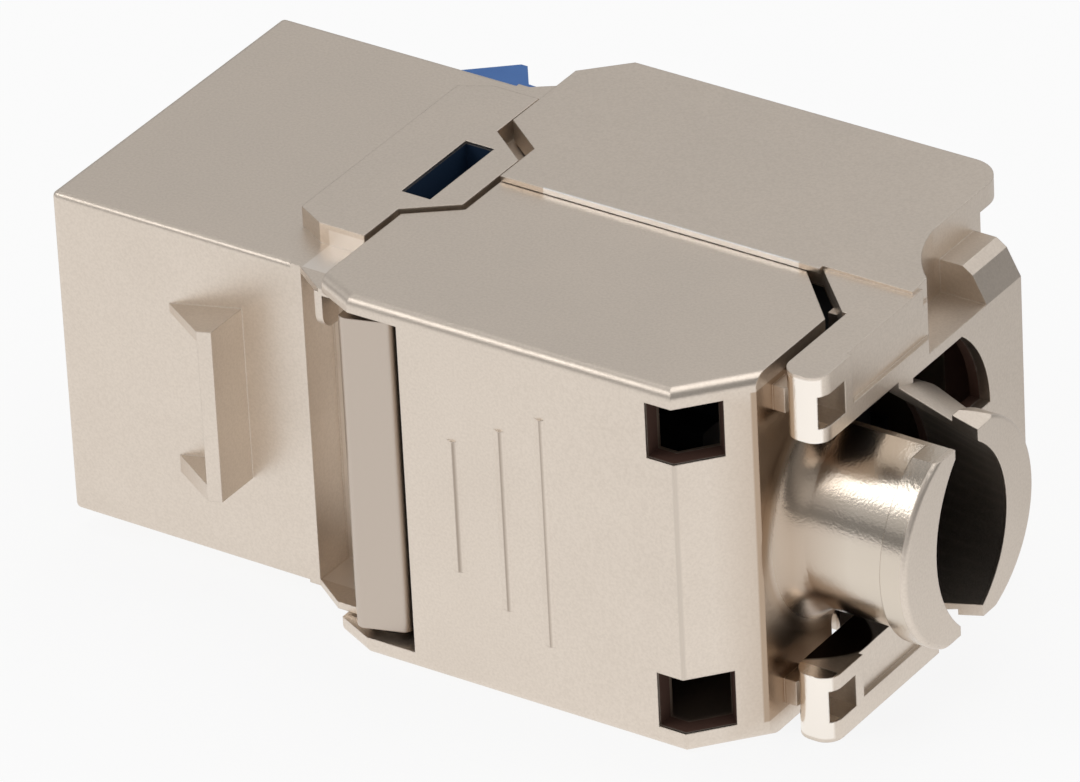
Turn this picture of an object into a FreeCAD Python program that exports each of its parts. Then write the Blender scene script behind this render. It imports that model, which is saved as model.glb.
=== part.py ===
import FreeCAD, Part
import math
import os

# Shielded keystone jack with two hinged rear covers that close over the cable without a tool.
# The jack lies on its flat side. Stations along it (x) are counted from the port face towards the
# cable end, y is counted from its middle plane (fixed catch at minus y, sprung latch at plus y),
# and z from its mid height. The finished solids are then moved so that the origin is the middle
# of the underside of the whole jack. All sizes are in millimetres.

# Overall envelope
overall_length = 38.3
body_length = 11.85
body_width = 16.0
body_height = 14.5
cover_width = 20.3

# Cover plates over the housing
plate = 0.8
plate_gap = 0.1
cover_wall = 1.0
seam_gap = 0.1
seam_y = 0.3
seam_lip = 0.2
seam_lip_gap = 0.03
far_plate_rise = 0.15
near_plate_drop = 0.12
edge_round = 0.25
near_edge_round = 0.45

# Neck behind the panel groove, and the raised pads on it
neck_half_width = 6.1
neck_wall = 1.1
neck_end = 17.6
pad_front = 10.2
pad_front_half_width = 5.4
pad_shoulder = 11.5
pad_rear = 13.6
tongue_rear = 15.6
tongue_centre_y = -0.3
tongue_base_half = 3.45
tongue_tip_half = 1.95
pad_gap = 0.2
tongue_pocket = 0.85
pad_window_front = 12.93
pad_window_length = 1.35
pad_window_half_width = 2.25
hook_depth = 1.35

# Hinges of the two covers, with the flange and rib that close the groove above and below them
hinge_x = 15.9
hinge_inset = 1.55
lug_front = 14.4
lug_rear = 17.1
lug_shoulder_x = 15.1
lug_shoulder_drop = 0.9
lug_slant = 0.6
lug_half_height = 7.0
lug_chamfer_length = 0.55
lug_chamfer_height = 1.2
lug_round = 0.4
knuckle_relief_radius = 1.95
flange_front = 13.4
flange_half_width = 9.05
flange_thickness = 0.3
rib_front = 13.2
rib_sheet = 0.35
rib_low = 5.35
pin_radius = 0.75
pin_press_gap = 0.02
pin_running_gap = 0.05
pin_socket_depth = 0.5
side_wall_start = 17.75

# Fixed catch on the ridge side
catch_front = 5.4
catch_rear = 8.9
catch_wall = 0.7
catch_height = 2.1
catch_top = 4.5
catch_bottom = -3.2
catch_slant = 0.75
catch_gusset = 0.6

# Port for the modular plug
port_width = 11.9
port_bottom = -3.0
port_top = 3.9
port_depth = 12.2
tab_shoulder_half = 3.1
tab_slot_half = 1.7
tab_shoulder_depth = 1.4
tab_depth = 1.2
tab_lock_wall = 1.5
roof_thickness = 1.0
port_lead_in = 0.45

# Sprung latch on the far side and its channel
latch_side_wall = 0.5
latch_side_gap = 0.1
latch_leaf = 0.9
latch_pivot_x = 2.35
latch_pivot_y = 6.6
latch_bead = 0.7
latch_socket_gap = 0.1
latch_ramp_start = 7.4
latch_tooth_x = 10.2
latch_tooth_top = 10.1
latch_tail_start = 11.2
latch_tail_top = 8.9
latch_end = 12.9
latch_recess = 0.1
latch_floor = 5.5
latch_tail_room = 0.25

# Cover outline in plan
ear_corner_y = 9.35
ear_corner_x = 15.5
rear_chamfer_start = 30.2
near_taper = 0.1
near_rear = 32.4
near_rear_corner_y = 7.5
near_rear_inner_y = 2.6
near_diagonal_x = 29.7
far_rear = 32.7
far_plate_corner = 1.4
far_wall_corner_y = 8.1
block_rear = 34.8
block_half_height = 5.35
block_end_y = 7.6
block_wall = 0.95
ledge_width = 2.5
ledge_profile = ((33.74, 1.45), (34.19, 1.14), (34.67, 0.24))

# Latching arms of the far cover
arm_front = 33.0
arm_tip_y = -6.8
arm_tip_round = 0.75
arm_root_x = 30.45
arm_root_turn_y = -2.0
arm_curve_end_y = 4.7
arm_curve_mid_x = 33.3
arm_curve_mid_y = 2.9
arm_curve_start_x = 34.4
arm_curve_start_y = 1.5
arm_window_inner_y = -5.04
arm_window_outer_y = -6.6
arm_window_low = 5.87
arm_window_high = 7.27
arm_recess_depth = 0.2
arm_recess_low = 6.0
arm_recess_high = 7.15
arm_recess_start_y = -4.5

# Windows in the chamfered corner of the near cover
corner_window_front = 29.0
corner_window_low = 4.8
corner_window_high = 7.25

# Cable collar, split between the covers
collar_y = -2.1
collar_radius = 4.3
flange_radius = 4.65
flange_length = 1.15
flare_length = 2.35
collar_flat = 4.15
collar_root = 1.2
collar_flare = 0.75
near_split_y = -2.95
far_split_y = -1.3
near_bore_radius = 5.3
near_bore_y = 0.8
far_bore_radius = 4.5
far_bore_y = -3.9
tie_window_start_y = -0.3
tie_window_centre_y = 0.2
tie_window_centre_z = 1.0
tie_window_radius = 4.95
tie_window_top = 4.9

# Grip lines on the near cover
grip_x = (20.1, 22.3, 24.2)
grip_half_length = (2.95, 4.05, 5.1)
grip_front_flank = 0.3
grip_rear_flank = 0.18
grip_rise = 0.1

# Contact carrier, contacts, board and insulation displacement terminals
fit_gap = 0.1
contact_pitch = 1.02
contact_count = 8
contact_thickness = 0.3
contact_width = 0.46
contact_y = 4.4
contact_bend_x = 3.6
contact_bend_radius = 0.6
contact_tip_x = 11.0
contact_tip_y = 0.75
contact_swing = 1.3
arm_split = 0.04
comb_front = 9.6
carrier_back_wall = 1.6
board_front = 18.05
board_thickness = 1.6
board_half_width = 6.4
board_edge_room = 0.65
board_hole = 0.29
terminal_pitch = 3.05
terminal_y = 5.0
block_inner = 1.5
block_outer = 1.3
terminal_sheet = 0.4
terminal_half_width = 1.0
terminal_tip = 25.2
terminal_slot = 0.4
block_tip = 25.8
wire_slot = 1.3
wire_slot_floor = 21.8
manager_plate = 27.0
manager_rear = 29.2
manager_bore = 2.9
manager_bore_start = 1.6
spring_leaf = 0.2
spring_half_width = 1.6
spring_bulge = 0.25

half_height = body_height / 2 + plate_gap + plate
latch_half_width = body_height / 2 - latch_side_wall
board_half_height = body_height / 2 - board_edge_room
half_width = cover_width / 2
plate_underside = body_height / 2 + plate_gap
hinge_y = half_width - hinge_inset
cover_front = pad_rear + pad_gap
tongue_cover_front = tongue_rear + pad_gap
board_rear = board_front + board_thickness
reach = 30.0


def vec(x, y, z):
    return FreeCAD.Vector(x, y, z)


def box(x0, x1, y0, y1, z0, z1):
    return Part.makeBox(x1 - x0, y1 - y0, z1 - z0, vec(x0, y0, z0))


def prism(points, z0, z1):
    """Upright prism over a plan outline given as (x, y) points."""
    corners = [vec(x, y, z0) for x, y in points]
    face = Part.Face(Part.makePolygon(corners + [corners[0]]))
    return face.extrude(vec(0, 0, z1 - z0))


def side_prism(points, y0, y1):
    """Prism over an elevation outline given as (x, z) points, running along y."""
    corners = [vec(x, y0, z) for x, z in points]
    face = Part.Face(Part.makePolygon(corners + [corners[0]]))
    return face.extrude(vec(0, y1 - y0, 0))


def rod_x(radius, x0, x1, y, z=0.0):
    return Part.makeCylinder(radius, x1 - x0, vec(x0, y, z), vec(1, 0, 0))


def rod_z(radius, x, y, z0, z1):
    return Part.makeCylinder(radius, z1 - z0, vec(x, y, z0), vec(0, 0, 1))


def mirrored_z(shape):
    return shape.mirror(vec(0, 0, 0), vec(0, 0, 1))


def mirrored_across(shape):
    """Mirror image on the other side of the middle plane."""
    return shape.mirror(vec(0, 0, 0), vec(0, 1, 0))


def joined(shapes):
    first, *rest = shapes
    return first.fuse(rest).removeSplitter() if rest else first


def both_sides(shape):
    """The shape and its mirror image above and below mid height."""
    return [shape, mirrored_z(shape)]


def edges_where(shape, test):
    return [edge for edge in shape.Edges if test(edge)]


def along(edge, axis):
    """True for a straight edge that runs along the given axis number."""
    start, end = edge.Vertexes[0].Point, edge.Vertexes[-1].Point
    spans = [abs(end[i] - start[i]) for i in range(3)]
    return sum(spans) > 1e-6 and spans[axis] > 0.999 * sum(spans)


def pad_outline():
    """Plan of the raised pad: a shouldered plate with a tapered tongue to the rear."""
    base_near = tongue_centre_y - tongue_base_half
    base_far = tongue_centre_y + tongue_base_half
    tip_near = tongue_centre_y - tongue_tip_half
    tip_far = tongue_centre_y + tongue_tip_half
    return [(pad_front, -pad_front_half_width), (pad_shoulder, -neck_half_width),
            (pad_rear, -neck_half_width), (pad_rear, base_near), (tongue_rear, tip_near),
            (tongue_rear, tip_far), (pad_rear, base_far), (pad_rear, neck_half_width),
            (pad_shoulder, neck_half_width), (pad_front, pad_front_half_width)]


def fixed_catch():
    """Hook for the panel: an upright rear wall with a triangular gusset above and below in front of it."""
    face_y = -body_width / 2
    crest_y = face_y - catch_height
    root_y = face_y + edge_round
    crest_x = catch_rear - catch_wall
    elevation = [(catch_front, catch_top - catch_slant), (catch_rear, catch_top),
                 (catch_rear, catch_bottom), (catch_front, catch_bottom - catch_slant)]
    block = side_prism(elevation, crest_y, root_y)
    ahead = catch_front - 1
    ramp = prism([(ahead, face_y), (catch_front, face_y), (crest_x, crest_y), (crest_x, crest_y - 1),
                  (ahead, crest_y - 1)], -body_height / 2, body_height / 2)
    pocket = [(ahead, catch_top - catch_slant - catch_gusset), (crest_x, catch_top - catch_gusset),
              (crest_x, catch_bottom + catch_gusset), (ahead, catch_bottom - catch_slant + catch_gusset)]
    return block.cut([ramp, side_prism(pocket, crest_y - 1, face_y)])


def hinge_lug(side):
    """Lug on one side of the neck, bored for its pin, with a slanted outer face; side is -1 or 1."""
    inner_y = neck_half_width - neck_wall
    plan = [(lug_front, inner_y), (lug_front, half_width - lug_shoulder_drop), (lug_shoulder_x, half_width),
            (lug_rear, half_width - lug_slant), (lug_rear, inner_y)]
    block = prism(plan, -lug_half_height, lug_half_height)
    outer_edges = edges_where(block, lambda e: along(e, 2) and e.BoundBox.YMax > hinge_y)
    block = block.makeFillet(lug_round, outer_edges)
    front_x = lug_front - 1
    corner = side_prism([(front_x, -lug_half_height - 1), (front_x, lug_chamfer_height - lug_half_height),
                         (lug_front, lug_chamfer_height - lug_half_height),
                         (lug_front + lug_chamfer_length, -lug_half_height),
                         (lug_front + lug_chamfer_length, -lug_half_height - 1)], neck_half_width, reach)
    bore = rod_z(pin_radius + pin_press_gap, hinge_x, hinge_y, -reach, reach)
    lug = block.cut([corner, mirrored_z(corner), bore])
    return lug if side > 0 else mirrored_across(lug)


def groove_flange(side):
    """Flange above and below the panel groove that widens to the lug; a rounded rib under the upper one."""
    top = body_height / 2
    inner_y = neck_half_width - neck_wall
    start = body_length - 0.5
    end = lug_front + 0.5
    plan = [(start, inner_y), (start, body_width / 2), (body_length, body_width / 2),
            (flange_front, flange_half_width), (end, flange_half_width), (end, inner_y)]
    flange = prism(plan, top - flange_thickness, top)
    bore = rod_z(pin_radius + pin_press_gap, hinge_x, hinge_y, -reach, reach)
    rib_rear = rib_front + rib_sheet
    rib = box(rib_front, rib_rear, inner_y, flange_half_width, rib_low, top - flange_thickness / 2)
    rounded = edges_where(rib, lambda e: along(e, 0) and e.BoundBox.YMin > flange_half_width - 1e-3
                          and e.BoundBox.ZMax < rib_low + 1e-3)
    upper = joined([flange, rib.makeFillet(2 * rib_sheet, rounded)]).cut(bore)
    pieces = [upper, mirrored_z(flange.cut(bore))]
    return pieces if side > 0 else [mirrored_across(piece) for piece in pieces]


def port_cutter():
    """Space for the plug and its locking tab, with a lead-in bevel round the mouth."""
    half = port_width / 2
    main = box(-1, port_depth, port_bottom, port_top + roof_thickness, -half, half)
    shoulder_y = port_bottom - tab_shoulder_depth
    tab_y = shoulder_y - tab_depth
    shoulder = box(-1, port_depth, shoulder_y, port_bottom + 0.1, -tab_shoulder_half, tab_shoulder_half)
    slot = box(-1, port_depth, tab_y, shoulder_y + 0.1, -tab_slot_half, tab_slot_half)
    behind_lock = box(tab_lock_wall, port_depth, tab_y, shoulder_y + 0.1,
                      -tab_shoulder_half, tab_shoulder_half)
    mouth_low = [vec(0, port_bottom, -half), vec(0, port_top, -half), vec(0, port_top, half),
                 vec(0, port_bottom, half)]
    grow = port_lead_in
    mouth_high = [vec(-grow, port_bottom - grow, -half - grow), vec(-grow, port_top + grow, -half - grow),
                  vec(-grow, port_top + grow, half + grow), vec(-grow, port_bottom - grow, half + grow)]
    inner = Part.makePolygon(mouth_low + [mouth_low[0]])
    outer = Part.makePolygon(mouth_high + [mouth_high[0]])
    bevel = Part.makeLoft([inner, outer], True)
    bevel.translate(vec(port_lead_in, 0, 0))
    return joined([main, shoulder, slot, behind_lock]).fuse(bevel)


def latch_channel():
    """Channel in the far wall for the latch, with a round socket for its bead."""
    half = latch_half_width + latch_side_gap
    socket = rod_z(latch_bead + latch_socket_gap, latch_pivot_x, latch_pivot_y, -half, half)
    mouth_x = latch_pivot_x + latch_bead
    top = body_width / 2
    throat = box(latch_pivot_x, mouth_x, latch_pivot_y - latch_bead - latch_socket_gap,
                 latch_pivot_y + latch_bead + latch_socket_gap, -half, half)
    open_part = box(mouth_x, latch_end + latch_tail_room, latch_floor, top + 1, -half, half)
    return joined([socket, throat, open_part])


def spring_recess(side):
    """Shallow seat in one port side wall for a shield spring."""
    half = port_width / 2
    z0, z1 = sorted((side * (half - 0.5), side * (half + spring_leaf + fit_gap)))
    return box(tab_lock_wall, port_depth, -spring_half_width - fit_gap, spring_half_width + fit_gap, z0, z1)


def front_housing():
    """Die-cast front body: port, fixed catch, latch channel, neck, pads and hinge lugs."""
    body = box(0, body_length, -body_width / 2, body_width / 2, -body_height / 2, body_height / 2)
    body = body.makeFillet(edge_round, edges_where(body, lambda e: along(e, 0) or e.BoundBox.XMax < 1e-6))
    neck = box(body_length - 1, neck_end, -neck_half_width, neck_half_width,
               -body_height / 2, body_height / 2)
    pads = prism(pad_outline(), -half_height, half_height)
    hinges = [hinge_lug(-1), hinge_lug(1), *groove_flange(-1), *groove_flange(1)]
    solid = joined([body, neck, pads, *hinges, fixed_catch()])
    inner_y = neck_half_width - neck_wall
    inner_z = body_height / 2 - neck_wall
    core = box(port_depth - 0.01, neck_end + 1, -inner_y, inner_y, -inner_z, inner_z)
    window_y0 = tongue_centre_y - pad_window_half_width
    window_y1 = tongue_centre_y + pad_window_half_width
    window = box(pad_window_front, pad_window_front + pad_window_length, window_y0, window_y1, -reach, reach)
    cuts = [port_cutter(), core, window, latch_channel(), spring_recess(-1), spring_recess(1)]
    return solid.cut(cuts).removeSplitter()


def latch():
    """Sprung plastic latch: round bead in the channel, thin leaf, ramped tooth and finger tail."""
    top = body_width / 2 - latch_recess
    underside = top - latch_leaf
    outline = [(latch_pivot_x, latch_pivot_y - 0.6 * latch_bead),
               (latch_pivot_x + 2 * latch_bead, underside),
               (latch_tail_start, underside), (latch_end, underside + 0.3 * latch_leaf),
               (latch_end, latch_tail_top - 0.1), (latch_tail_start, latch_tail_top),
               (latch_tooth_x + 0.15, latch_tooth_top), (latch_tooth_x - 0.15, latch_tooth_top),
               (latch_ramp_start, top), (latch_pivot_x + 2.4 * latch_bead, top),
               (latch_pivot_x + 1.3 * latch_bead, latch_pivot_y + latch_bead),
               (latch_pivot_x, latch_pivot_y + latch_bead)]
    leaf = prism(outline, -latch_half_width, latch_half_width)
    bead = rod_z(latch_bead, latch_pivot_x, latch_pivot_y, -latch_half_width, latch_half_width)
    return joined([leaf, bead])


def plate_notch(side):
    """Front edge of a cover plate where it runs round the tongue; side is -1 near, +1 far."""
    base = tongue_centre_y + side * tongue_base_half
    tip = tongue_centre_y + side * tongue_tip_half
    shift = 0.11 if side < 0 else tongue_pocket
    return [(tongue_cover_front, tip + side * shift), (cover_front, base + side * shift)]


def near_side_y(x):
    """Outer face of the near cover's side wall, which runs in a little towards the rear."""
    return -half_width + near_taper * (x - ear_corner_x) / (rear_chamfer_start - ear_corner_x)


def near_outline():
    """Plan of the near cover's plates, anticlockwise from the tongue end of the seam."""
    notch = plate_notch(-1)
    seam = seam_y - seam_gap / 2
    return [(tongue_cover_front, seam), *notch, (cover_front, -ear_corner_y), (ear_corner_x, -half_width),
            (rear_chamfer_start, near_side_y(rear_chamfer_start)), (near_rear, -near_rear_corner_y),
            (near_rear, -near_rear_inner_y), (near_diagonal_x, seam)]


def near_collar():
    """Near half of the collar: a flattened tube with an end flange that sweeps into the rear wall."""
    flange_start = overall_length - flange_length
    tube = rod_x(collar_radius, near_rear - cover_wall / 2, overall_length, collar_y)
    flange = rod_x(flange_radius, flange_start, overall_length, collar_y)
    ring = joined([tube, flange])
    rim = edges_where(ring, lambda e: e.BoundBox.XMin > overall_length - 1e-3 and e.BoundBox.YLength > 1)
    flats = box(near_rear - cover_wall, overall_length + 1, -reach, reach, -collar_flat, collar_flat)
    root = rod_x(collar_radius + collar_root, near_rear - cover_wall / 2, near_rear + collar_root, collar_y)
    sweep = Part.makeTorus(collar_radius + collar_root, collar_root,
                           vec(near_rear + collar_root, collar_y, 0), vec(1, 0, 0))
    half = box(0, reach * 2, -reach, near_split_y, -reach, reach)
    return joined([ring.makeFillet(0.2, rim).common(flats), root.cut(sweep)]).common(half)


def far_collar():
    """Far half of the collar: it flares towards the rear block and ends in the same flange."""
    flange_start = overall_length - flange_length
    wide = collar_radius + collar_flare
    stub = rod_x(wide, block_rear - block_wall, block_rear, collar_y)
    flare = Part.makeCone(wide, collar_radius, flare_length,
                          vec(block_rear, collar_y, 0), vec(1, 0, 0))
    tube = rod_x(collar_radius, block_rear - block_wall, overall_length, collar_y)
    flange = rod_x(flange_radius, flange_start, overall_length, collar_y)
    ring = joined([stub, flare, tube, flange])
    rim = edges_where(ring, lambda e: e.BoundBox.XMin > overall_length - 1e-3 and e.BoundBox.YLength > 1)
    start = block_rear - block_wall
    end = overall_length + 0.1
    flats = side_prism([(start, block_half_height), (end, collar_flat), (end, -collar_flat),
                        (start, -block_half_height)], far_split_y, reach)
    return ring.makeFillet(0.2, rim).common(flats)


def cable_bore():
    """Lens-shaped cable passage between the two halves of the collar, wider towards the inside."""
    start = near_rear - 3
    slope = collar_flare / (flare_length + flange_length)
    near = rod_x(near_bore_radius, start, overall_length + 1, near_bore_y)
    flare_end = block_rear + flare_length + flange_length
    far = Part.makeCone(far_bore_radius + slope * (flare_end - start), far_bore_radius,
                        flare_end - start, vec(start, far_bore_y, 0), vec(1, 0, 0))
    straight = rod_x(far_bore_radius, start, overall_length + 1, far_bore_y)
    return near.common(joined([far, straight]))


def knuckle_relief(side):
    """Round clearance in a cover's side wall about its hinge lug."""
    return rod_z(knuckle_relief_radius, hinge_x, side * hinge_y, -plate_underside, plate_underside)


def pin_sockets(side):
    """Blind holes in a cover's two ears for the ends of its hinge pin."""
    radius = pin_radius + pin_running_gap
    socket = rod_z(radius, hinge_x, side * hinge_y, 0, plate_underside + pin_socket_depth)
    return both_sides(socket)


def corner_windows():
    """Two square windows that wrap the chamfered rear corner of the near cover."""
    middle_x = (rear_chamfer_start + near_rear) / 2
    middle_y = -(half_width + near_rear_corner_y) / 2
    outline = [(corner_window_front, -half_width - 1), (middle_x + 0.3, -half_width - 1),
               (middle_x + 1.5, middle_y - 0.9), (middle_x - 0.7, middle_y + 1.3),
               (corner_window_front, -half_width + 2 * cover_wall)]
    return both_sides(prism(outline, corner_window_low, corner_window_high))


def grip_lines():
    """Low ridges on the near side wall, steeper at the rear."""
    ridges = []
    for x, length in zip(grip_x, grip_half_length):
        face = near_side_y(x)
        plan = [(x - grip_front_flank, face + 0.3), (x - grip_front_flank, face), (x, face - grip_rise),
                (x + grip_rear_flank, face), (x + grip_rear_flank, face + 0.3)]
        ridges.append(prism(plan, -length, length))
    return ridges


def catch_teeth():
    """Low ramped teeth on the near cover's rear wall that sit in the far cover's arm windows."""
    low = near_rear - cover_wall / 2
    plan = [(low, arm_window_outer_y + 0.2), (arm_front - 0.05, arm_window_outer_y + 0.2),
            (arm_front + 0.2, arm_window_inner_y - 0.2), (low, arm_window_inner_y - 0.2)]
    return both_sides(prism(plan, arm_window_low + 0.15, arm_window_high - 0.15))


def near_cover():
    """Near rear cover: two plates with ears, side wall, chamfered corner, rear wall, half collar."""
    outer = prism(near_outline(), -half_height, half_height - near_plate_drop)
    outer_edges = edges_where(outer, lambda e: abs(e.BoundBox.ZLength) < 1e-6
                              and e.BoundBox.YMax < 1e-3 - near_rear_corner_y
                              and e.BoundBox.XMax > cover_front + 0.1)
    outer = outer.makeFillet(near_edge_round, outer_edges)
    inner_front = near_side_y(side_wall_start) + cover_wall
    inner_back = near_side_y(rear_chamfer_start) + cover_wall
    inner_rear = near_rear - cover_wall
    corner = cover_wall * math.tan(math.radians(22.5))
    hollow_plan = [(cover_front - 1, reach), (cover_front - 1, -reach), (side_wall_start, -reach),
                   (side_wall_start, inner_front), (rear_chamfer_start - corner, inner_back),
                   (inner_rear, -near_rear_corner_y + corner), (inner_rear, reach)]
    hollow = prism(hollow_plan, -plate_underside, plate_underside)
    open_end = box(near_diagonal_x - 1, reach * 2, near_split_y, reach, -plate_underside, plate_underside)
    shell = outer.cut([hollow, open_end])
    solid = joined([shell, near_collar(), *catch_teeth(), *grip_lines()])
    cuts = [cable_bore(), knuckle_relief(-1), *pin_sockets(-1), *corner_windows()]
    return solid.cut(cuts).removeSplitter()


def far_plate_outline():
    """Plan of the far cover's plates beyond the seam, with the curve into the arm root."""
    notch = plate_notch(1)
    seam = seam_y + seam_gap / 2
    ear = half_width - ear_corner_x + cover_front
    return [(tongue_cover_front, seam), *notch, (cover_front, ear), (ear_corner_x, half_width),
            (far_rear - far_plate_corner, half_width)], seam


def far_plate(z0, z1):
    """One plate of the far cover with its rounded rear corner and curved run into the arm."""
    points, seam = far_plate_outline()
    run = [vec(x, y, z0) for x, y in reversed(points)]
    edges = [Part.LineSegment(a, b).toShape() for a, b in zip(run, run[1:])]
    corner_start = run[0]
    turn = far_plate_corner * (1 - math.sqrt(0.5))
    corner_end = vec(far_rear, half_width - far_plate_corner, z0)
    corner_mid = vec(far_rear - turn, half_width - turn, z0)
    curve_end = vec(far_rear, arm_curve_end_y, z0)
    curve_mid = vec(arm_curve_mid_x, arm_curve_mid_y, z0)
    curve_start = vec(arm_curve_start_x, arm_curve_start_y, z0)
    root = vec(block_rear - 0.3, seam, z0)
    edges.append(Part.LineSegment(run[-1], root).toShape())
    edges.append(Part.LineSegment(root, curve_start).toShape())
    edges.append(Part.Arc(curve_start, curve_mid, curve_end).toShape())
    edges.append(Part.LineSegment(curve_end, corner_end).toShape())
    edges.append(Part.Arc(corner_end, corner_mid, corner_start).toShape())
    wire = Part.Wire(Part.__sortEdges__(edges))
    return Part.Face(wire).extrude(vec(0, 0, z1 - z0))


def arm_root():
    """Curved root that carries an arm down from the plate to the rear block."""
    z0 = block_half_height - 0.5
    a = vec(far_rear - 0.5, arm_curve_end_y, z0)
    b = vec(far_rear, arm_curve_end_y, z0)
    c = vec(arm_curve_mid_x, arm_curve_mid_y, z0)
    d = vec(arm_curve_start_x, arm_curve_start_y, z0)
    e = vec(block_rear, arm_curve_start_y - 0.6, z0)
    f = vec(block_rear, far_split_y, z0)
    g = vec(far_rear - 0.5, far_split_y, z0)
    edges = [Part.LineSegment(a, b).toShape(), Part.Arc(b, c, d).toShape()]
    edges += [Part.LineSegment(p, q).toShape() for p, q in ((d, e), (e, f), (f, g), (g, a))]
    return Part.Face(Part.Wire(edges)).extrude(vec(0, 0, plate_underside + 0.1 - z0))


def arm(upper):
    """Arm that reaches across the near cover, drawn above mid height, with window, recess and round tip."""
    bar = box(arm_front, block_rear, arm_tip_y, arm_curve_start_y - 0.6, block_half_height - 0.1, half_height)
    tip_edges = edges_where(bar, lambda e: along(e, 2) and e.BoundBox.YMax < arm_tip_y + 1e-3)
    bar = bar.makeFillet(arm_tip_round, tip_edges)
    seam = seam_y + seam_gap / 2
    web = prism([(arm_root_x, seam + 0.2), (arm_root_x, seam), (arm_front - 0.2, arm_root_turn_y),
                 (arm_front + 0.2, arm_root_turn_y), (arm_front + 1.0, seam + 0.2)],
                plate_underside, half_height)
    window = box(arm_front - 1, block_rear + 1, arm_window_outer_y, arm_window_inner_y,
                 arm_window_low, arm_window_high)
    low, high = (arm_recess_low, reach) if upper else (block_half_height - 1, arm_recess_high)
    recess = box(block_rear - arm_recess_depth, block_rear + 1, arm_recess_start_y, reach, low, high)
    return joined([bar, web, arm_root()]).cut([window, recess])


def rear_block():
    """Raised block behind the far cover with the far half of the collar and a ledge above and below."""
    outer = box(far_rear - cover_wall, block_rear, far_split_y, block_end_y,
                -block_half_height, block_half_height)
    start = far_rear - 0.5
    profile = [(start, block_half_height - 0.3), (start, block_half_height + ledge_profile[0][1])]
    profile += [(x, block_half_height + rise) for x, rise in ledge_profile]
    profile += [(block_rear, block_half_height), (block_rear, block_half_height - 0.3)]
    ledge = side_prism(profile, block_end_y - ledge_width, block_end_y)
    return joined([outer, *both_sides(ledge)])


def tie_windows():
    """Quarter-round windows beside the collar through the rear block."""
    z0 = tie_window_centre_z
    start = block_rear - 2 * block_wall
    square = box(start, block_rear + 1, tie_window_start_y, reach, z0, tie_window_top)
    round_part = rod_x(tie_window_radius, start, block_rear + 1, tie_window_centre_y, z0)
    return both_sides(square.common(round_part))


def far_cover():
    """Far rear cover: plates, side wall, rear block, two latching arms and the other half collar."""
    top = far_plate(plate_underside, half_height + far_plate_rise)
    bottom = far_plate(-half_height, -plate_underside)
    inner_wall = half_width - cover_wall
    wall_turn = far_rear - (half_width - far_wall_corner_y)
    corner = cover_wall * math.tan(math.radians(22.5))
    wall_plan = [(side_wall_start, inner_wall), (wall_turn - corner, inner_wall),
                 (far_rear - cover_wall, far_wall_corner_y - corner), (far_rear - cover_wall, far_split_y),
                 (far_rear, far_split_y), (far_rear, far_wall_corner_y), (wall_turn, half_width),
                 (side_wall_start, half_width)]
    wall = prism(wall_plan, -plate_underside - 0.1, plate_underside + 0.1)
    lip = box(tongue_cover_front, arm_root_x, seam_y - seam_lip, seam_y + seam_gap,
              half_height - near_plate_drop + seam_lip_gap, half_height + far_plate_rise)
    arms = [arm(True), mirrored_z(arm(False))]
    inside = box(far_rear - cover_wall - 0.1, block_rear - block_wall, far_split_y - 1,
                 block_end_y - block_wall, -block_half_height + block_wall, block_half_height - block_wall)
    shell = joined([top, bottom, wall, rear_block(), *arms, lip]).cut([inside, *tie_windows()])
    cuts = [cable_bore(), knuckle_relief(1), *pin_sockets(1)]
    return joined([shell, far_collar()]).cut(cuts).removeSplitter()


def hinge_pin(side):
    half = plate_underside + pin_socket_depth - pin_running_gap
    return rod_z(pin_radius, hinge_x, side * hinge_y, -half, half)


def contact_places():
    return [contact_pitch * (i - (contact_count - 1) / 2) for i in range(contact_count)]


def contact_carrier():
    """Plastic insert: port roof with contact grooves, back wall with a comb, rear block and hooks."""
    half = port_width / 2 - fit_gap
    roof = box(0.9, port_depth + 0.5, port_top, port_top + roof_thickness - fit_gap / 2, -half, half)
    back_top = port_top + roof_thickness - fit_gap / 2
    inner_y = neck_half_width - neck_wall - fit_gap
    inner_z = body_height / 2 - neck_wall - fit_gap
    back = box(port_depth + fit_gap, board_front, -inner_y, inner_y, -inner_z, inner_z)
    comb = box(comb_front, port_depth + 0.5, contact_tip_y - 0.9, contact_tip_y + contact_swing,
               -contact_pitch * contact_count / 2 - 0.3, contact_pitch * contact_count / 2 + 0.3)
    hook_gap = 2 * fit_gap
    hook_half = pad_window_half_width - hook_gap
    hook = box(pad_window_front + hook_gap, pad_window_front + pad_window_length - hook_gap,
               tongue_centre_y - hook_half, tongue_centre_y + hook_half,
               hook_depth - half_height, half_height - hook_depth)
    solid = joined([roof, back, comb, hook])
    cuts = []
    for z in contact_places():
        slot = contact_width / 2 + fit_gap / 2
        cuts.append(box(contact_bend_x - 1.4, neck_end + 1, port_top - 0.5, contact_y + 0.25,
                        z - slot, z + slot))
        cuts.append(box(comb_front - 1, port_depth, contact_tip_y - 1, contact_tip_y + contact_swing + 0.1,
                        z - slot, z + slot))
    hollow = box(port_depth + carrier_back_wall, neck_end + 1, -inner_y + 1.2, port_top - 1.5,
                 -inner_z + 1.2, inner_z - 1.2)
    return solid.cut(cuts + [hollow]).removeSplitter()


def wire_section(point, z):
    """Rectangle of contact wire that stands across a run along x at the given point."""
    t = contact_thickness / 2
    w = contact_width / 2
    corners = [vec(point.x, point.y - t, z - w), vec(point.x, point.y + t, z - w),
               vec(point.x, point.y + t, z + w), vec(point.x, point.y - t, z + w)]
    return Part.makePolygon(corners + [corners[0]])


def arm_lean():
    """Angle by which the free arm of a contact slopes down from its bend, in radians."""
    return math.atan2(contact_y - 2 * contact_bend_radius - contact_tip_y, contact_tip_x - contact_bend_x)


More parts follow.
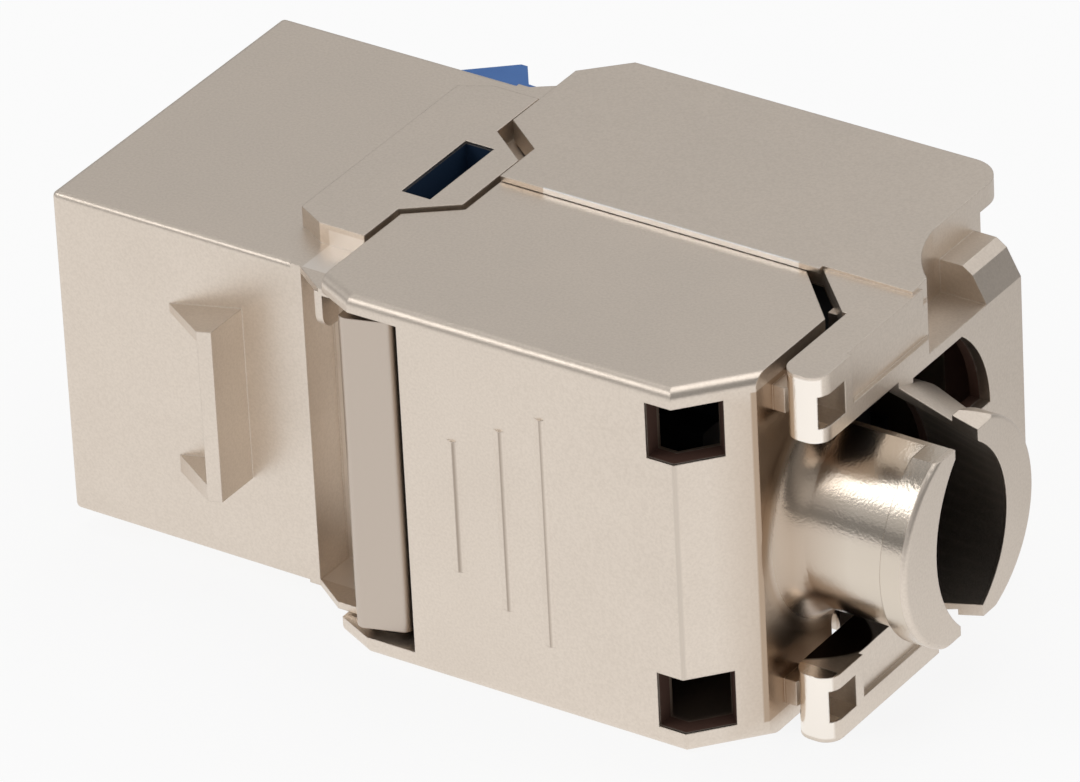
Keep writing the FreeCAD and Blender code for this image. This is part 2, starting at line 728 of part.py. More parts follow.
def bend_point(z, angle):
    """Point on the middle line of a contact's bend at an angle about the bend's centre."""
    r = contact_bend_radius
    return vec(contact_bend_x + r * math.cos(angle), contact_y - r + r * math.sin(angle), z)


def contact_lead(z):
    """Fixed part of a gold-plated contact: tail through the board, straight run and bend."""
    tail = vec(board_rear, contact_y, z)
    turn = bend_point(z, math.pi / 2)
    last = 1.5 * math.pi - arm_lean() - arm_split
    middle = bend_point(z, (math.pi / 2 + last) / 2)
    path = Part.Wire([Part.LineSegment(tail, turn).toShape(),
                      Part.Arc(turn, middle, bend_point(z, last)).toShape()])
    return path.makePipeShell([wire_section(tail, z)], True, False, 2)


def contact_arm(z):
    """Free arm of a contact, which swings about its bend when the plug presses it."""
    lean = arm_lean()
    length = math.hypot(contact_tip_x - contact_bend_x, contact_y - 2 * contact_bend_radius - contact_tip_y)
    t = contact_thickness / 2
    w = contact_width / 2
    nose = 2 * contact_thickness
    outline = [(0, -t), (length - nose, -t), (length, 0), (length - 0.5 * nose, t), (0, t)]
    arm = prism(outline, z - w, z + w)
    arm.rotate(vec(0, 0, 0), vec(0, 0, 1), -math.degrees(lean))
    arm.translate(bend_point(0, 1.5 * math.pi - lean))
    return arm


def terminal_places():
    rows = [terminal_pitch * (i - 1.5) for i in range(4)]
    return [(side * terminal_y, z) for side in (-1, 1) for z in rows]


def circuit_board():
    """Board between the contacts and the terminals: round holes for the contacts, square for the pins."""
    board = box(board_front, board_rear, -board_half_width, board_half_width,
                -board_half_height, board_half_height)
    holes = [rod_x(board_hole, board_front - 1, board_rear + 1, contact_y, z) for z in contact_places()]
    for y, z in terminal_places():
        holes.append(box(board_front - 1, board_rear + 1, y - board_hole, y + board_hole,
                         z - board_hole, z + board_hole))
    return board.cut(holes)


def terminal(y, z):
    """Forked terminal: a sheet blade with a slot for the wire and a pin through the board."""
    base = board_rear + 0.3
    sheet = terminal_sheet / 2
    blade = box(base, terminal_tip, y - sheet, y + sheet, z - terminal_half_width, z + terminal_half_width)
    slot = box(wire_slot_floor, terminal_tip + 1, y - 1, y + 1, z - terminal_slot / 2, z + terminal_slot / 2)
    inner, outer = terminal_tip - 0.7, terminal_tip + 0.1
    mouth = side_prism([(inner, z - terminal_slot / 2), (inner, z + terminal_slot / 2),
                        (outer, z + 0.75), (outer, z - 0.75)], y - 1, y + 1)
    pin = box(board_front, base + 0.1, y - sheet, y + sheet, z - sheet, z + sheet)
    return joined([blade, pin]).cut([slot, mouth])


def terminal_block(side):
    """Plastic block that holds four terminals, with a wire slot across each."""
    inner = terminal_y - block_inner
    outer = terminal_y + block_outer
    y0, y1 = sorted((side * inner, side * outer))
    block = box(board_rear + fit_gap, block_tip, y0, y1, -board_half_height, board_half_height)
    cuts = []
    for y, z in terminal_places():
        if y * side > 0:
            cuts.append(box(wire_slot_floor, block_tip + 1, -reach, reach,
                            z - wire_slot / 2, z + wire_slot / 2))
            thick = (terminal_sheet + fit_gap) / 2
            wide = terminal_half_width + fit_gap / 2
            cuts.append(box(board_rear - 1, block_tip + 1, y - thick, y + thick, z - wide, z + wide))
    return block.cut(cuts)


def wire_manager():
    """Cap that lays the wires over the terminals: slotted plate, centre tube and pressing ribs."""
    half_y = board_half_width + 0.1
    plate_part = box(manager_plate, manager_rear, -half_y, half_y, -board_half_height, board_half_height)
    corner = edges_where(plate_part, lambda e: along(e, 0))
    plate_part = plate_part.makeFillet(0.8, corner)
    core_y = terminal_y - block_inner - 2 * fit_gap
    core = box(board_rear + 0.6, manager_plate + 0.1, -core_y, core_y,
               -board_half_height + 1, board_half_height - 1)
    ribs = []
    for y, z in terminal_places():
        side = 1 if y > 0 else -1
        rib = wire_slot / 2 - fit_gap
        y0, y1 = sorted((y - side * 0.45, y - side * block_outer))
        ribs.append(box(wire_slot_floor + 1.4, manager_plate + 0.1, y0, y1, z - rib, z + rib))
    solid = joined([plate_part, core, *ribs])
    cuts = [rod_x(manager_bore, board_rear + manager_bore_start, manager_rear + 1, 0.0)]
    cuts.append(Part.makeCone(manager_bore, manager_bore + 1.0, 1.0,
                              vec(manager_rear - 1.0, 0, 0), vec(1, 0, 0)))
    for y, z in terminal_places():
        side = 1 if y > 0 else -1
        y0, y1 = sorted((side * (half_y - 1.3), side * (half_y + 1)))
        cuts.append(box(manager_plate - 0.01, manager_rear + 1, y0, y1, z - 0.55, z + 0.55))
    return solid.cut(cuts).removeSplitter()


def shield_spring(side):
    """Bent leaf in a port side wall that touches the plug's shield."""
    half = port_width / 2
    seat = half + fit_gap / 2
    x0 = tab_lock_wall + 0.2
    x1 = port_depth - 0.4
    middle = (x0 + x1) / 2
    low = [vec(x0, -spring_half_width, side * seat),
           vec(middle, -spring_half_width, side * (half - spring_bulge)),
           vec(x1, -spring_half_width, side * seat)]
    high = [vec(p.x, p.y, p.z + side * spring_leaf) for p in low]
    edges = [Part.Arc(*low).toShape(), Part.LineSegment(low[2], high[2]).toShape(),
             Part.Arc(high[2], high[1], high[0]).toShape(), Part.LineSegment(high[0], low[0]).toShape()]
    return Part.Face(Part.Wire(edges)).extrude(vec(0, 2 * spring_half_width, 0))


def subparts():
    """Every piece of the jack by the name of its node."""
    pieces = {
        "front_housing": front_housing(),
        "latch": latch(),
        "near_cover": near_cover(),
        "far_cover": far_cover(),
        "near_hinge_pin": hinge_pin(-1),
        "far_hinge_pin": hinge_pin(1),
        "contact_carrier": contact_carrier(),
        "circuit_board": circuit_board(),
        "near_terminal_block": terminal_block(-1),
        "far_terminal_block": terminal_block(1),
        "wire_manager": wire_manager(),
        "upper_shield_spring": shield_spring(1),
        "lower_shield_spring": shield_spring(-1),
    }
    for number, z in enumerate(contact_places(), 1):
        pieces[f"contact_lead_{number}"] = contact_lead(z)
        pieces[f"contact_arm_{number}"] = contact_arm(z)
    for number, (y, z) in enumerate(terminal_places(), 1):
        pieces[f"terminal_{number}"] = terminal(y, z)
    return pieces


os.makedirs("parts", exist_ok=True)
for name, shape in subparts().items():
    shape.translate(vec(-overall_length / 2, 0, half_height))
    if not shape.isValid():
        print("invalid solid:", name)
    print(f"{name:22s} solids {len(shape.Solids)}  volume {shape.Volume:9.2f}")
    shape.exportStep(f"parts/{name}.step")
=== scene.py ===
import bpy
import numpy as np
from mathutils import Matrix, Vector

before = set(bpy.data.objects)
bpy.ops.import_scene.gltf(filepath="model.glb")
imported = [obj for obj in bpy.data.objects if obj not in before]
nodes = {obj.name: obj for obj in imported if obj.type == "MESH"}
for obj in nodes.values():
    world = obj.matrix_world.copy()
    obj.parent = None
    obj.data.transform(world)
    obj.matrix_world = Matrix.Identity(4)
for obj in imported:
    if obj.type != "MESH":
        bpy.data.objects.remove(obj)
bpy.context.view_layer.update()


# Front housing: one zinc die casting with the plug port, the fixed catch, the panel groove and the
# raised pads. It is tumbled after the mould and nickel plated, so the flats have a fine pebbled
# grain and the edges have worn smooth.
mm_per_metre = 1000
# A Mix node has sockets of one name for values and for colours, so they are picked by number.
value_a, value_b, value_out = 2, 3, 0
colour_a, colour_b, colour_out = 6, 7, 2


def add_nodes(tree, *kinds):
    """Adds one shader node of each kind to a tree and returns them in the same order."""
    return [tree.nodes.new("ShaderNode" + kind) for kind in kinds]


def set_inputs(node, values):
    """Gives a node's inputs, picked by name or number, their fixed values."""
    for socket, value in values.items():
        node.inputs[socket].default_value = value


def link_pairs(tree, *pairs):
    """Links the first socket of each pair to the second."""
    for source, target in pairs:
        tree.links.new(source, target)


def new_group(name, values, outputs):
    """Starts a node group with inputs that have their usual values, and with outputs of a kind."""
    group = bpy.data.node_groups.new(name, "ShaderNodeTree")
    kinds = {float: "NodeSocketFloat", tuple: "NodeSocketColor", Vector: "NodeSocketVector"}
    for label, value in values.items():
        socket = group.interface.new_socket(label, in_out="INPUT", socket_type=kinds[type(value)])
        socket.default_value = value
    for label, kind in outputs.items():
        group.interface.new_socket(label, in_out="OUTPUT", socket_type=kind)
    return group, group.nodes.new("NodeGroupInput"), group.nodes.new("NodeGroupOutput")


def tumbled_grain_group():
    """Pebbled grain of a tumbled casting: small noise for the pits, larger for uneven plating.

    The pits shade the plating's colour and set the height, and the larger noise sets the gloss.
    """
    group, inside, outside = new_group(
        "tumbled_grain",
        {"Pit size mm": 0.11, "Cloud size mm": 3.0, "Colour spread": 0.3,
         "Plating": (0.77, 0.68, 0.59, 1), "Pit colour": (0.58, 0.5, 0.42, 1)},
        {"Colour": "NodeSocketColor", "Gloss": "NodeSocketFloat", "Height": "NodeSocketFloat"})
    place, depth, amount, shade = add_nodes(group, "TexCoord", "MapRange", "Math", "Mix")
    noises = []
    for name, detail in (("Pit size mm", 2), ("Cloud size mm", 3)):
        per_metre, noise = add_nodes(group, "Math", "TexNoise")
        per_metre.operation = "DIVIDE"
        per_metre.inputs[0].default_value = mm_per_metre
        noise.inputs["Detail"].default_value = detail
        link_pairs(group, (inside.outputs[name], per_metre.inputs[1]),
                   (per_metre.outputs[0], noise.inputs["Scale"]),
                   (place.outputs["Object"], noise.inputs["Vector"]))
        noises.append(noise)
    pits, clouds = noises
    set_inputs(depth, {"From Min": 0.35, "From Max": 0.7})
    amount.operation = "MULTIPLY"
    shade.data_type = "RGBA"
    link_pairs(group, (pits.outputs["Fac"], depth.inputs["Value"]),
               (depth.outputs["Result"], amount.inputs[0]),
               (inside.outputs["Colour spread"], amount.inputs[1]),
               (amount.outputs[0], shade.inputs["Factor"]),
               (inside.outputs["Plating"], shade.inputs[colour_a]),
               (inside.outputs["Pit colour"], shade.inputs[colour_b]),
               (shade.outputs[colour_out], outside.inputs["Colour"]),
               (clouds.outputs["Fac"], outside.inputs["Gloss"]),
               (pits.outputs["Fac"], outside.inputs["Height"]))
    return group


def cut_box_group():
    """Mask that is 1 inside a box with one corner cut off by a slanted plane, all in millimetres.

    It is the least of the distances to the six faces and to the plane, divided by Fade and held
    between 0 and 1.
    """
    group, inside, outside = new_group(
        "cut_box",
        {"Low": Vector((-1, -1, -1)), "High": Vector((1, 1, 1)),
         "Plane normal": Vector((1, 0, 0)), "Plane distance": 1000.0, "Fade": 0.06},
        {"Mask": "NodeSocketFloat"})
    place, split, room, fade = add_nodes(group, "TexCoord", "SeparateXYZ", "Math", "MapRange")
    point, above, below, least, slant = add_nodes(group, *["VectorMath"] * 5)
    point.operation = "SCALE"
    point.inputs["Scale"].default_value = mm_per_metre
    above.operation = below.operation = room.operation = "SUBTRACT"
    least.operation = "MINIMUM"
    slant.operation = "DOT_PRODUCT"
    link_pairs(group, (place.outputs["Object"], point.inputs[0]),
               (point.outputs[0], above.inputs[0]), (inside.outputs["Low"], above.inputs[1]),
               (inside.outputs["High"], below.inputs[0]), (point.outputs[0], below.inputs[1]),
               (above.outputs[0], least.inputs[0]), (below.outputs[0], least.inputs[1]),
               (least.outputs[0], split.inputs[0]), (point.outputs[0], slant.inputs[0]),
               (inside.outputs["Plane normal"], slant.inputs[1]),
               (inside.outputs["Plane distance"], room.inputs[0]),
               (slant.outputs["Value"], room.inputs[1]))
    nearest = room.outputs[0]
    for distance in split.outputs:
        smaller, = add_nodes(group, "Math")
        smaller.operation = "MINIMUM"
        link_pairs(group, (nearest, smaller.inputs[0]), (distance, smaller.inputs[1]))
        nearest = smaller.outputs[0]
    link_pairs(group, (nearest, fade.inputs["Value"]),
               (inside.outputs["Fade"], fade.inputs["From Max"]),
               (fade.outputs["Result"], outside.inputs["Mask"]))
    return group


mid_height = 8.15


def cable_bore_group():
    """Mask that is 1 inside the cable passage, a round hole along X that widens to the inside.

    It is the hole's radius less the distance from its axis, in millimetres, divided by the length
    of the fade. It ends at the mouth of the collar and at the inner end of the passage.
    """
    mouth, inner_end, fade = 19.0, 9.0, 0.0625
    group, inside, outside = new_group(
        "cable_bore", {"Axis y": 0.0, "Radius": 4.5, "Widening": 0.0},
        {"Mask": "NodeSocketFloat"})
    place, point, split = add_nodes(group, "TexCoord", "VectorMath", "SeparateXYZ")
    point.operation = "SCALE"
    point.inputs["Scale"].default_value = mm_per_metre
    link_pairs(group, (place.outputs["Object"], point.inputs[0]),
               (point.outputs[0], split.inputs[0]))

    def step(operation, *sources):
        """One sum of sockets and numbers, as a Math node, and its result."""
        node, = add_nodes(group, "Math")
        node.operation = operation
        for socket, source in zip(node.inputs, sources):
            if isinstance(source, bpy.types.NodeSocket):
                group.links.new(source, socket)
            else:
                socket.default_value = source
        return node.outputs[0]

    side = step("SUBTRACT", split.outputs["Y"], inside.outputs["Axis y"])
    rise = step("SUBTRACT", split.outputs["Z"], mid_height)
    reach = step("SQRT", step("MULTIPLY_ADD", side, side, step("MULTIPLY", rise, rise)))
    depth = step("SUBTRACT", mouth, split.outputs["X"])
    radius = step("MULTIPLY_ADD", depth, inside.outputs["Widening"], inside.outputs["Radius"])
    room = step("MINIMUM", step("SUBTRACT", radius, reach), depth)
    room = step("MINIMUM", room, step("SUBTRACT", split.outputs["X"], inner_end))
    group.links.new(step("MULTIPLY", room, 1 / fade), outside.inputs["Mask"])
    return group


tumbled_grain = tumbled_grain_group()
cut_box = cut_box_group()
cable_bore = cable_bore_group()
shaded_bore = ((0.014, 0.007, 0.004, 1), 0.6, 1)


def zone(low, high, finish_or_painted_light, normal=(1, 0, 0), distance=1000.0, fade=0.06):
    """One zone of a casting: a box from low to high, less what a plane cuts off, in millimetres.

    Its finish or painted light and shade is the colour, the roughness and 1 for metal or 0 for a
    dull dark surface, which is used for painted shade. The plane is far off where none is given, so
    it cuts nothing.
    """
    return (low, high, normal, distance, fade), finish_or_painted_light


def new_material(name):
    """Starts a material, and gives its node tree and its main shader too."""
    material = bpy.data.materials.new(name)
    material.use_nodes = True
    return material, material.node_tree, material.node_tree.nodes["Principled BSDF"]


def cast_nickel(name, zones, bore=None):
    """Satin nickel on a casting, with each zone's finish or painted light and shade blended over it
    by the zone's mask.

    The cable passage is painted in shade too, where bore gives its axis, radius and widening in
    millimetres.
    """
    material, tree, shader = new_material(name)
    grain, rough, relief, corner = add_nodes(tree, "Group", "MapRange", "Bump", "Bevel")
    grain.node_tree = tumbled_grain
    set_inputs(rough, {"From Min": 0.3, "From Max": 0.7, "To Min": 0.36, "To Max": 0.42})
    set_inputs(relief, {"Strength": 0.3, "Distance": 0.00002})
    corner.samples = 4
    corner.inputs["Radius"].default_value = 0.00006
    link_pairs(tree, (grain.outputs["Gloss"], rough.inputs["Value"]),
               (grain.outputs["Height"], relief.inputs["Height"]),
               (corner.outputs["Normal"], relief.inputs["Normal"]),
               (relief.outputs["Normal"], shader.inputs["Normal"]))
    masks = [(cut_box, *place) for place in zones]
    if bore:
        masks.append((cable_bore, bore, shaded_bore))
    colour, roughness, metallic = grain.outputs["Colour"], rough.outputs["Result"], None
    for group, values, finish_or_painted_light in masks:
        mask, shade, roughen, metal = add_nodes(tree, "Group", "Mix", "Mix", "Mix")
        mask.node_tree = group
        set_inputs(mask, dict(enumerate(values)))
        shade.data_type = "RGBA"
        shade.inputs[colour_b].default_value = finish_or_painted_light[0]
        roughen.inputs[value_b].default_value = finish_or_painted_light[1]
        set_inputs(metal, {value_a: 1.0, value_b: finish_or_painted_light[2]})
        for blend in (shade, roughen, metal):
            tree.links.new(mask.outputs["Mask"], blend.inputs["Factor"])
        link_pairs(tree, (colour, shade.inputs[colour_a]), (roughness, roughen.inputs[value_a]))
        if metallic:
            tree.links.new(metallic, metal.inputs[value_a])
        colour = shade.outputs[colour_out]
        roughness, metallic = roughen.outputs[value_out], metal.outputs[value_out]
    link_pairs(tree, (colour, shader.inputs["Base Color"]),
               (roughness, shader.inputs["Roughness"]), (metallic, shader.inputs["Metallic"]))
    return material


def finish_node(name, material):
    """Gives one carried-over piece of the jack its material."""
    slots = nodes[name].data.materials
    slots.clear()
    slots.append(material)


# Painted shade: a near-black dull colour for inner faces and cut edges that lie in shade inside the
# castings.
painted_shade_inside = ((0.09, 0.042, 0.028, 1), 0.8, 0)
# Painted shade with a navy tint, for the pad windows where the carrier's navy hook lies in shadow.
painted_navy_shade = ((0.012, 0.035, 0.08, 1), 0.6, 0)
# The near lug is painted darker: painted shade for its inward-turned face.
shaded_near_lug = zone((-4.6, -10.4, 0.3), (-1.4, -7.5, 16.1), ((0.57, 0.49, 0.42, 1), 0.38, 1))
# The near side of the neck, down in the groove by the lug, is painted lighter: painted light.
lit_neck_side = zone((-7.25, -8.0, 0.2), (-4.65, -5.9, 16.1), ((0.87, 0.8, 0.73, 1), 0.4, 1))
# Inside the neck is painted in shade.
neck_inside_shade = zone((-7.5, -5.15, 1.9), (-1.0, 5.15, 14.4), painted_shade_inside)
# The walls of both pad windows are painted in navy shade.
pad_window_shades = [zone((-6.3, -2.65, low), (-4.8, 2.05, high), painted_navy_shade)
               for low, high in ((0.1, 2.3), (14.0, 16.2))]
housing_zones = [shaded_near_lug, lit_neck_side, neck_inside_shade, *pad_window_shades]
finish_node("front_housing", cast_nickel("housing_casting", housing_zones))


# Near cover: the casting that carries two plates, the side wall with its grip lines and windows,
# and the near half of the cable collar. The cable clamp rubs the collar, so it shines more than the
# flats. The wall beside it and the collar's root are painted darker and browner: painted shade.
near_collar = zone((13.35, -7.3, 2.55), (18.95, -2.8, 13.75), ((0.68, 0.6, 0.51, 1), 0.2, 1))
# The rear wall behind the arms and, with a wide fade, the collar's root are painted dark brown:
# painted shade.
shaded_rear_wall = zone((12.9, -7.7, 0.75), (13.35, 1.0, 15.55), ((0.46, 0.35, 0.26, 1), 0.32, 1))
collar_root_shade = zone((11.0, -9.0, 0.0), (16.4, 1.0, 16.0), ((0.44, 0.33, 0.24, 1), 0.26, 1),
                   fade=3.4)
# One flank of each grip line is painted darker: painted shade on the ridges.
grip_flank_shades = [zone((place - 0.04, -10.4, mid_height - half),
                    (place + 0.24, -10.13, mid_height + half), ((0.42, 0.35, 0.29, 1), 0.4, 1))
               for place, half in ((0.95, 2.95), (3.15, 4.05), (5.05, 5.1))]
corner_line = zone((10.95, -10.3, 1.2), (11.17, -9.9, 15.1), ((0.66, 0.58, 0.5, 1), 0.4, 1))
near_slant = (0.757, -0.653, 0)
# Inside the near cover is painted in shade: near black on the cut edges, a darker brown metal on the
# inner faces.
near_inside_shade = zone((-1.4, -9.95, 0.7), (12.9, 2.0, 15.6), painted_shade_inside, near_slant, 14.83)
cavity_shade = ((0.36, 0.28, 0.22, 1), 0.6, 1)
near_cavity_shade = zone((-1.4, -9.25, 0.7), (12.35, 2.0, 15.6), cavity_shade, near_slant, 14.13)
near_zones = [near_collar, shaded_rear_wall, collar_root_shade, *grip_flank_shades, corner_line, near_inside_shade,
              near_cavity_shade]
near_bore = (0.8, 5.35, 0.0)
finish_node("near_cover", cast_nickel("near_cover_casting", near_zones, near_bore))


# Far cover: the casting with the other two plates, the block behind them, the far half of the
# collar and the two arms that snap over the near cover. Its arm tips are worn smooth by closing,
# and their light colour is a painted highlight.
# The arm tips shine from wear, and their near-white colour is a painted highlight.
worn_highlit_tips = zone((13.8, -6.9, 0.12), (15.55, -6.05, 16.2), ((0.95, 0.88, 0.8, 1), 0.18, 1))
# A light line along the seam lip is a painted highlight.
seam_lip_highlight = zone((-1.4, -0.2, 15.8), (10.4, 0.2, 16.7), ((0.97, 0.95, 0.93, 1), 0.3, 1))
far_slant = (0.7071, 0.7071, 0)
# Inside the far cover, the block and the lower arm's trough are painted in shade.
far_inside_shade = zone((-1.4, -1.0, 0.7), (13.4, 10.05, 15.6), painted_shade_inside, far_slant, 15.2)
far_cavity_shade = zone((-1.4, -1.0, 0.7), (12.65, 9.25, 15.6), cavity_shade, far_slant, 14.5)
block_inside_shade = zone((13.0, -1.2, 2.9), (15.2, 7.5, 13.4), painted_shade_inside)
lower_trough_shade = zone((13.9, -4.7, 0.9), (15.0, 1.5, 2.7), painted_shade_inside)
far_zones = [worn_highlit_tips, seam_lip_highlight, far_inside_shade, far_cavity_shade, block_inside_shade, lower_trough_shade]
far_bore = (-3.9, 4.55, 0.2143)
finish_node("far_cover", cast_nickel("far_cover_casting", far_zones, far_bore))


# Hinge pins of the covers, cut from drawn steel wire and pressed into the lugs. Only a short length
# shows in the gap between a lug and a cover plate.
def noise_finish(tree, shader, shades, texture, colours, roughness, strength):
    """Colour and roughness run between two ends with one noise, and relief follows the other."""
    shade, rough_range, relief = add_nodes(tree, "Mix", "MapRange", "Bump")
    shade.data_type = "RGBA"
    set_inputs(shade, {colour_a: colours[0], colour_b: colours[1]})
    set_inputs(rough_range, {"To Min": roughness[0], "To Max": roughness[1]})
    set_inputs(relief, {"Strength": strength, "Distance": 0.00001})
    link_pairs(tree, (shades.outputs["Fac"], shade.inputs["Factor"]),
               (shade.outputs[colour_out], shader.inputs["Base Color"]),
               (shades.outputs["Fac"], rough_range.inputs["Value"]),
               (rough_range.outputs["Result"], shader.inputs["Roughness"]),
               (texture.outputs["Fac"], relief.inputs["Height"]),
               (relief.outputs["Normal"], shader.inputs["Normal"]))


def drawn_wire(name, colour, rough):
    """Drawn wire: noise squeezed along Z makes thin rings in its colour, roughness and relief."""
    material, tree, shader = new_material(name)
    shader.inputs["Metallic"].default_value = 1.0
    place, squeeze, rings = add_nodes(tree, "TexCoord", "Mapping", "TexNoise")
    squeeze.inputs["Scale"].default_value = (900, 900, 9000)
    rings.inputs["Scale"].default_value = 1.0
    link_pairs(tree, (place.outputs["Object"], squeeze.inputs["Vector"]),
               (squeeze.outputs["Vector"], rings.inputs["Vector"]))
    darker = tuple(0.6 * part for part in colour[:3]) + (1,)
    noise_finish(tree, shader, rings, rings, (colour, darker), (rough - 0.08, rough + 0.12), 0.15)
    return material


pin_steel = drawn_wire("drawn_pin_steel", (0.2, 0.19, 0.18, 1), 0.35)
for name in ("near_hinge_pin", "far_hinge_pin"):
    finish_node(name, pin_steel)


# Sprung latch, injection moulded in bright blue plastic and held by its round bead in the housing.
# The mould was spark eroded, so the surface has a fine satin texture with faint flow marks.
def moulded_plastic(name, colour, deep, rough):
    """Moulded plastic: a slow noise for flow marks and a fine one for the spark-eroded relief."""
    material, tree, shader = new_material(name)
    place, flow, texture = add_nodes(tree, "TexCoord", "TexNoise", "TexNoise")
    set_inputs(flow, {"Scale": 350, "Distortion": 1.2})
    set_inputs(texture, {"Scale": 9000, "Detail": 2})
    link_pairs(tree, (place.outputs["Object"], flow.inputs["Vector"]),
               (place.outputs["Object"], texture.inputs["Vector"]))
    noise_finish(tree, shader, flow, texture, (colour, deep), (rough - 0.08, rough + 0.08), 0.2)
    return material


latch_blue = moulded_plastic("blue_moulding", (0.052, 0.17, 0.46, 1), (0.035, 0.12, 0.37, 1), 0.42)
finish_node("latch", latch_blue)


# Contact carrier, moulded in navy plastic. It slides into the housing from behind, and its two
# hooks snap into the windows of the raised pads.
finish_node("contact_carrier", moulded_plastic(
    "navy_moulding", (0.01, 0.026, 0.06, 1), (0.007, 0.018, 0.045, 1), 0.45))


# Contacts: eight wires of gold-plated bronze in the slots of the carrier. Each has a fixed lead and
# a free arm that a plug presses back.
gold_wire = drawn_wire("gold_plated_wire", (0.83, 0.56, 0.2, 1), 0.22)
for name in nodes:
    if name.startswith(("contact_lead", "contact_arm")):
        finish_node(name, gold_wire)


# Circuit board: glass laminate under green solder mask. It stands behind the carrier, with the
# contacts and the terminals pushed into its holes.
finish_node("circuit_board", moulded_plastic(
    "board_mask", (0.02, 0.16, 0.06, 1), (0.015, 0.11, 0.045, 1), 0.3))


# Terminals stamped from tin-plated bronze sheet, forked to cut into the wires, and the two shield
# springs of the port, bent from nickel-plated sheet.
plated_sheet = drawn_wire("plated_sheet", (0.62, 0.6, 0.56, 1), 0.3)
for name in nodes:
    if name.startswith("terminal_") or name.endswith("shield_spring"):
        finish_node(name, plated_sheet)


# Terminal blocks and wire manager, moulded in near-black plastic behind the circuit board. The
# manager is a loose cap that lays the wires over the terminals.
dark_moulding = moulded_plastic(
    "dark_moulding", (0.012, 0.012, 0.014, 1), (0.008, 0.008, 0.01, 1), 0.5)
for name in ("near_terminal_block", "far_terminal_block", "wire_manager"):
    finish_node(name, dark_moulding)


# Floor: a plain white studio table that carries on out of view. It takes the jack's soft shadow and
# looks white to the camera. The metal sees it glowing white too, with a painted shadow that dims it
# towards the latch's side.
def studio_floor():
    """A square of tabletop far wider than the jack, one flat grid at the height of its underside."""
    side, steps = 6.0, 3
    u = np.linspace(-side, side, steps)
    x, y = np.meshgrid(u, u)
    points = np.stack([x.ravel(), y.ravel(), np.zeros(x.size)], axis=1)
    index = np.arange(steps * steps).reshape(steps, steps)
    corners = [index[:-1, :-1], index[:-1, 1:], index[1:, 1:], index[1:, :-1]]
    quads = np.stack(corners, axis=-1).reshape(-1, len(corners))
    mesh = bpy.data.meshes.new("floor")
    mesh.from_pydata(points.tolist(), [], quads.tolist())
    table = bpy.data.objects.new("floor", mesh)
    bpy.context.scene.collection.objects.link(table)
    return table


floor = studio_floor()
white_table, tree, table_shader = new_material("white_table")
set_inputs(table_shader, {"Base Color": (0.9, 0.9, 0.9, 1), "Roughness": 0.9,
                          "Specular IOR Level": 0.1})
glow, path, mirrored, seen, share, blend = add_nodes(
    tree, "Emission", "LightPath", "Math", "Math", "Math", "MixShader")
place, along, fade, level = add_nodes(tree, "TexCoord", "VectorMath", "MapRange", "Math")
along.operation = "DOT_PRODUCT"
along.inputs[1].default_value = (0, 1, 0)
# The glow that the metal sees falls from 1 to 0.65 towards the latch's side: a painted shadow of the
# jack.
set_inputs(fade, {"From Min": -0.012, "From Max": 0.02, "To Min": 1.0, "To Max": 0.65})
level.operation = mirrored.operation = seen.operation = "MAXIMUM"
share.operation = "MULTIPLY"
share.inputs[1].default_value = 0.88
link_pairs(tree, (path.outputs["Is Glossy Ray"], mirrored.inputs[0]),
           (path.outputs["Is Transmission Ray"], mirrored.inputs[1]),
           (path.outputs["Is Camera Ray"], share.inputs[0]),
           (mirrored.outputs[0], seen.inputs[0]), (share.outputs[0], seen.inputs[1]),
           (place.outputs["Object"], along.inputs[0]),
           (along.outputs["Value"], fade.inputs["Value"]),
           (fade.outputs["Result"], level.inputs[0]),
           (path.outputs["Is Camera Ray"], level.inputs[1]),
           (level.outputs[0], glow.inputs["Color"]), (seen.outputs[0], blend.inputs["Fac"]),
           (table_shader.outputs[0], blend.inputs[1]), (glow.outputs[0], blend.inputs[2]),
           (blend.outputs[0], tree.nodes["Material Output"].inputs["Surface"]))
floor.data.materials.append(white_table)


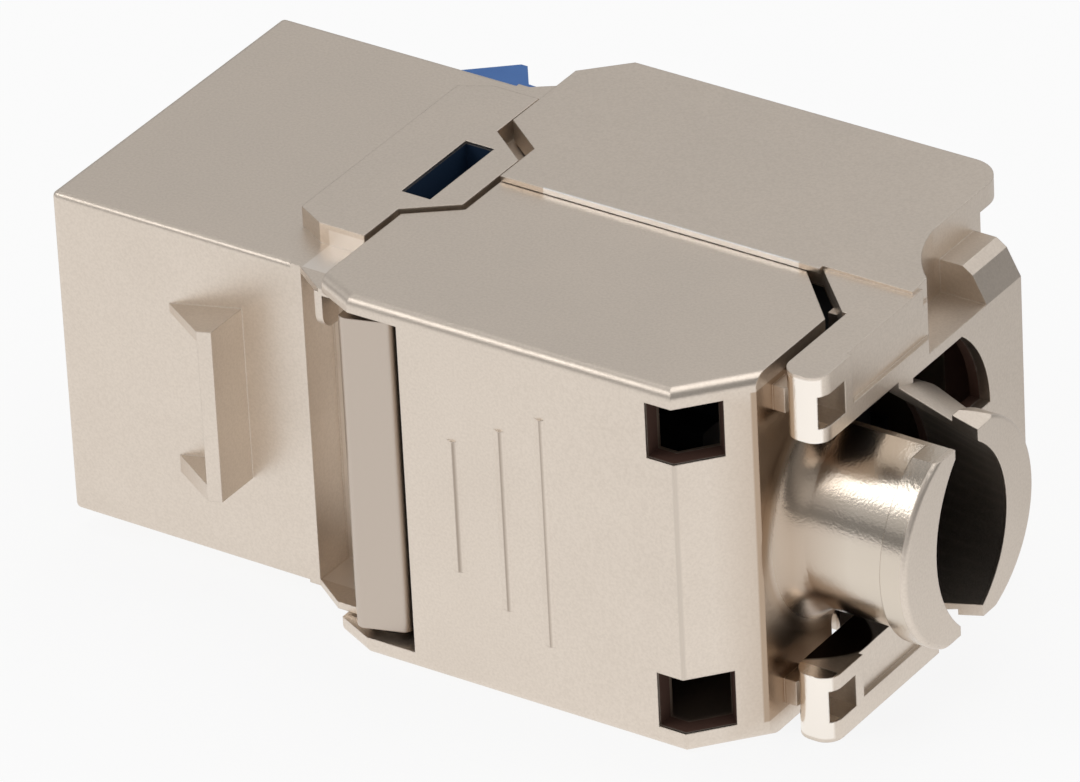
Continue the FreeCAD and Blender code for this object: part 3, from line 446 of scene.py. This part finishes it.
# Studio: pale walls that fade to a dim ceiling and towards the cable end, a soft lamp over the
# port's side and one overhead. The dim ceiling draws the dark line along the upper edges, and the
# side lamp the bright one below it.
world = bpy.data.worlds.new("studio")
bpy.context.scene.world = world
world.use_nodes = True
tree = world.node_tree
direction, split, height, turn, tint, shade = add_nodes(
    tree, "TexCoord", "SeparateXYZ", "ValToRGB", "MapRange", "CombineColor", "Mix")
levels = height.color_ramp
for place, level in ((0.0, 0.3), (0.05, 0.24), (0.2, 0.24), (0.3, 0.56),
                     (0.52, 0.63), (0.66, 0.46), (0.82, 0.15), (1.0, 0.08)):
    stop = levels.elements.new(place)
    stop.color = (level, level, level, 1)
levels.elements.remove(levels.elements[0])
levels.elements.remove(levels.elements[-1])
set_inputs(turn, {"From Min": 0.0, "From Max": 0.9, "To Min": 1.0, "To Max": 0.5})
shade.data_type = "RGBA"
shade.blend_type = "MULTIPLY"
shade.inputs["Factor"].default_value = 1.0
link_pairs(tree, (direction.outputs["Generated"], split.inputs[0]),
           (split.outputs["Z"], height.inputs["Fac"]), (split.outputs["X"], turn.inputs["Value"]),
           *((turn.outputs["Result"], socket) for socket in tint.inputs),
           (height.outputs["Color"], shade.inputs[colour_a]),
           (tint.outputs["Color"], shade.inputs[colour_b]),
           (shade.outputs[colour_out], tree.nodes["Background"].inputs["Color"]))
jack_middle = Vector((0, 0, 0.008))


def soft_lamp(name, spot, size, power):
    """Square area lamp that faces the jack from the given place."""
    lamp = bpy.data.lights.new(name, "AREA")
    lamp.size = size
    lamp.energy = power
    holder = bpy.data.objects.new(name, lamp)
    facing = (jack_middle - Vector(spot)).to_track_quat("-Z", "Y").to_matrix().to_4x4()
    holder.matrix_world = Matrix.Translation(spot) @ facing
    bpy.context.scene.collection.objects.link(holder)


soft_lamp("side_lamp", (-0.42, -0.42, 0.52), 0.3, 0.75)
soft_lamp("top_lamp", (0.12, 0.2, 0.66), 0.8, 1.9)


# Camera: a long lens from above behind the cable end, slightly rolled, as the photograph was taken.
# Its place, its turn and its focal length were worked out from the edges in the photograph.
camera_data = bpy.data.cameras.new("camera")
camera_data.sensor_width = 36.0
camera_data.lens = 382.66
camera_data.clip_start = 0.01
camera_data.clip_end = 20.0
camera = bpy.data.objects.new("camera", camera_data)
bpy.context.scene.collection.objects.link(camera)
spot = Vector((0.21962603, -0.31570494, 0.23817453))
right = Vector((0.83296018, 0.55147859, -0.04526262))
up = Vector((-0.25158724, 0.45031357, 0.85669221))
axes = Matrix((right, up, right.cross(up))).transposed()
camera.matrix_world = Matrix.Translation(spot) @ axes.to_4x4()
bpy.context.scene.camera = camera
bpy.context.scene.view_settings.view_transform = "Standard"
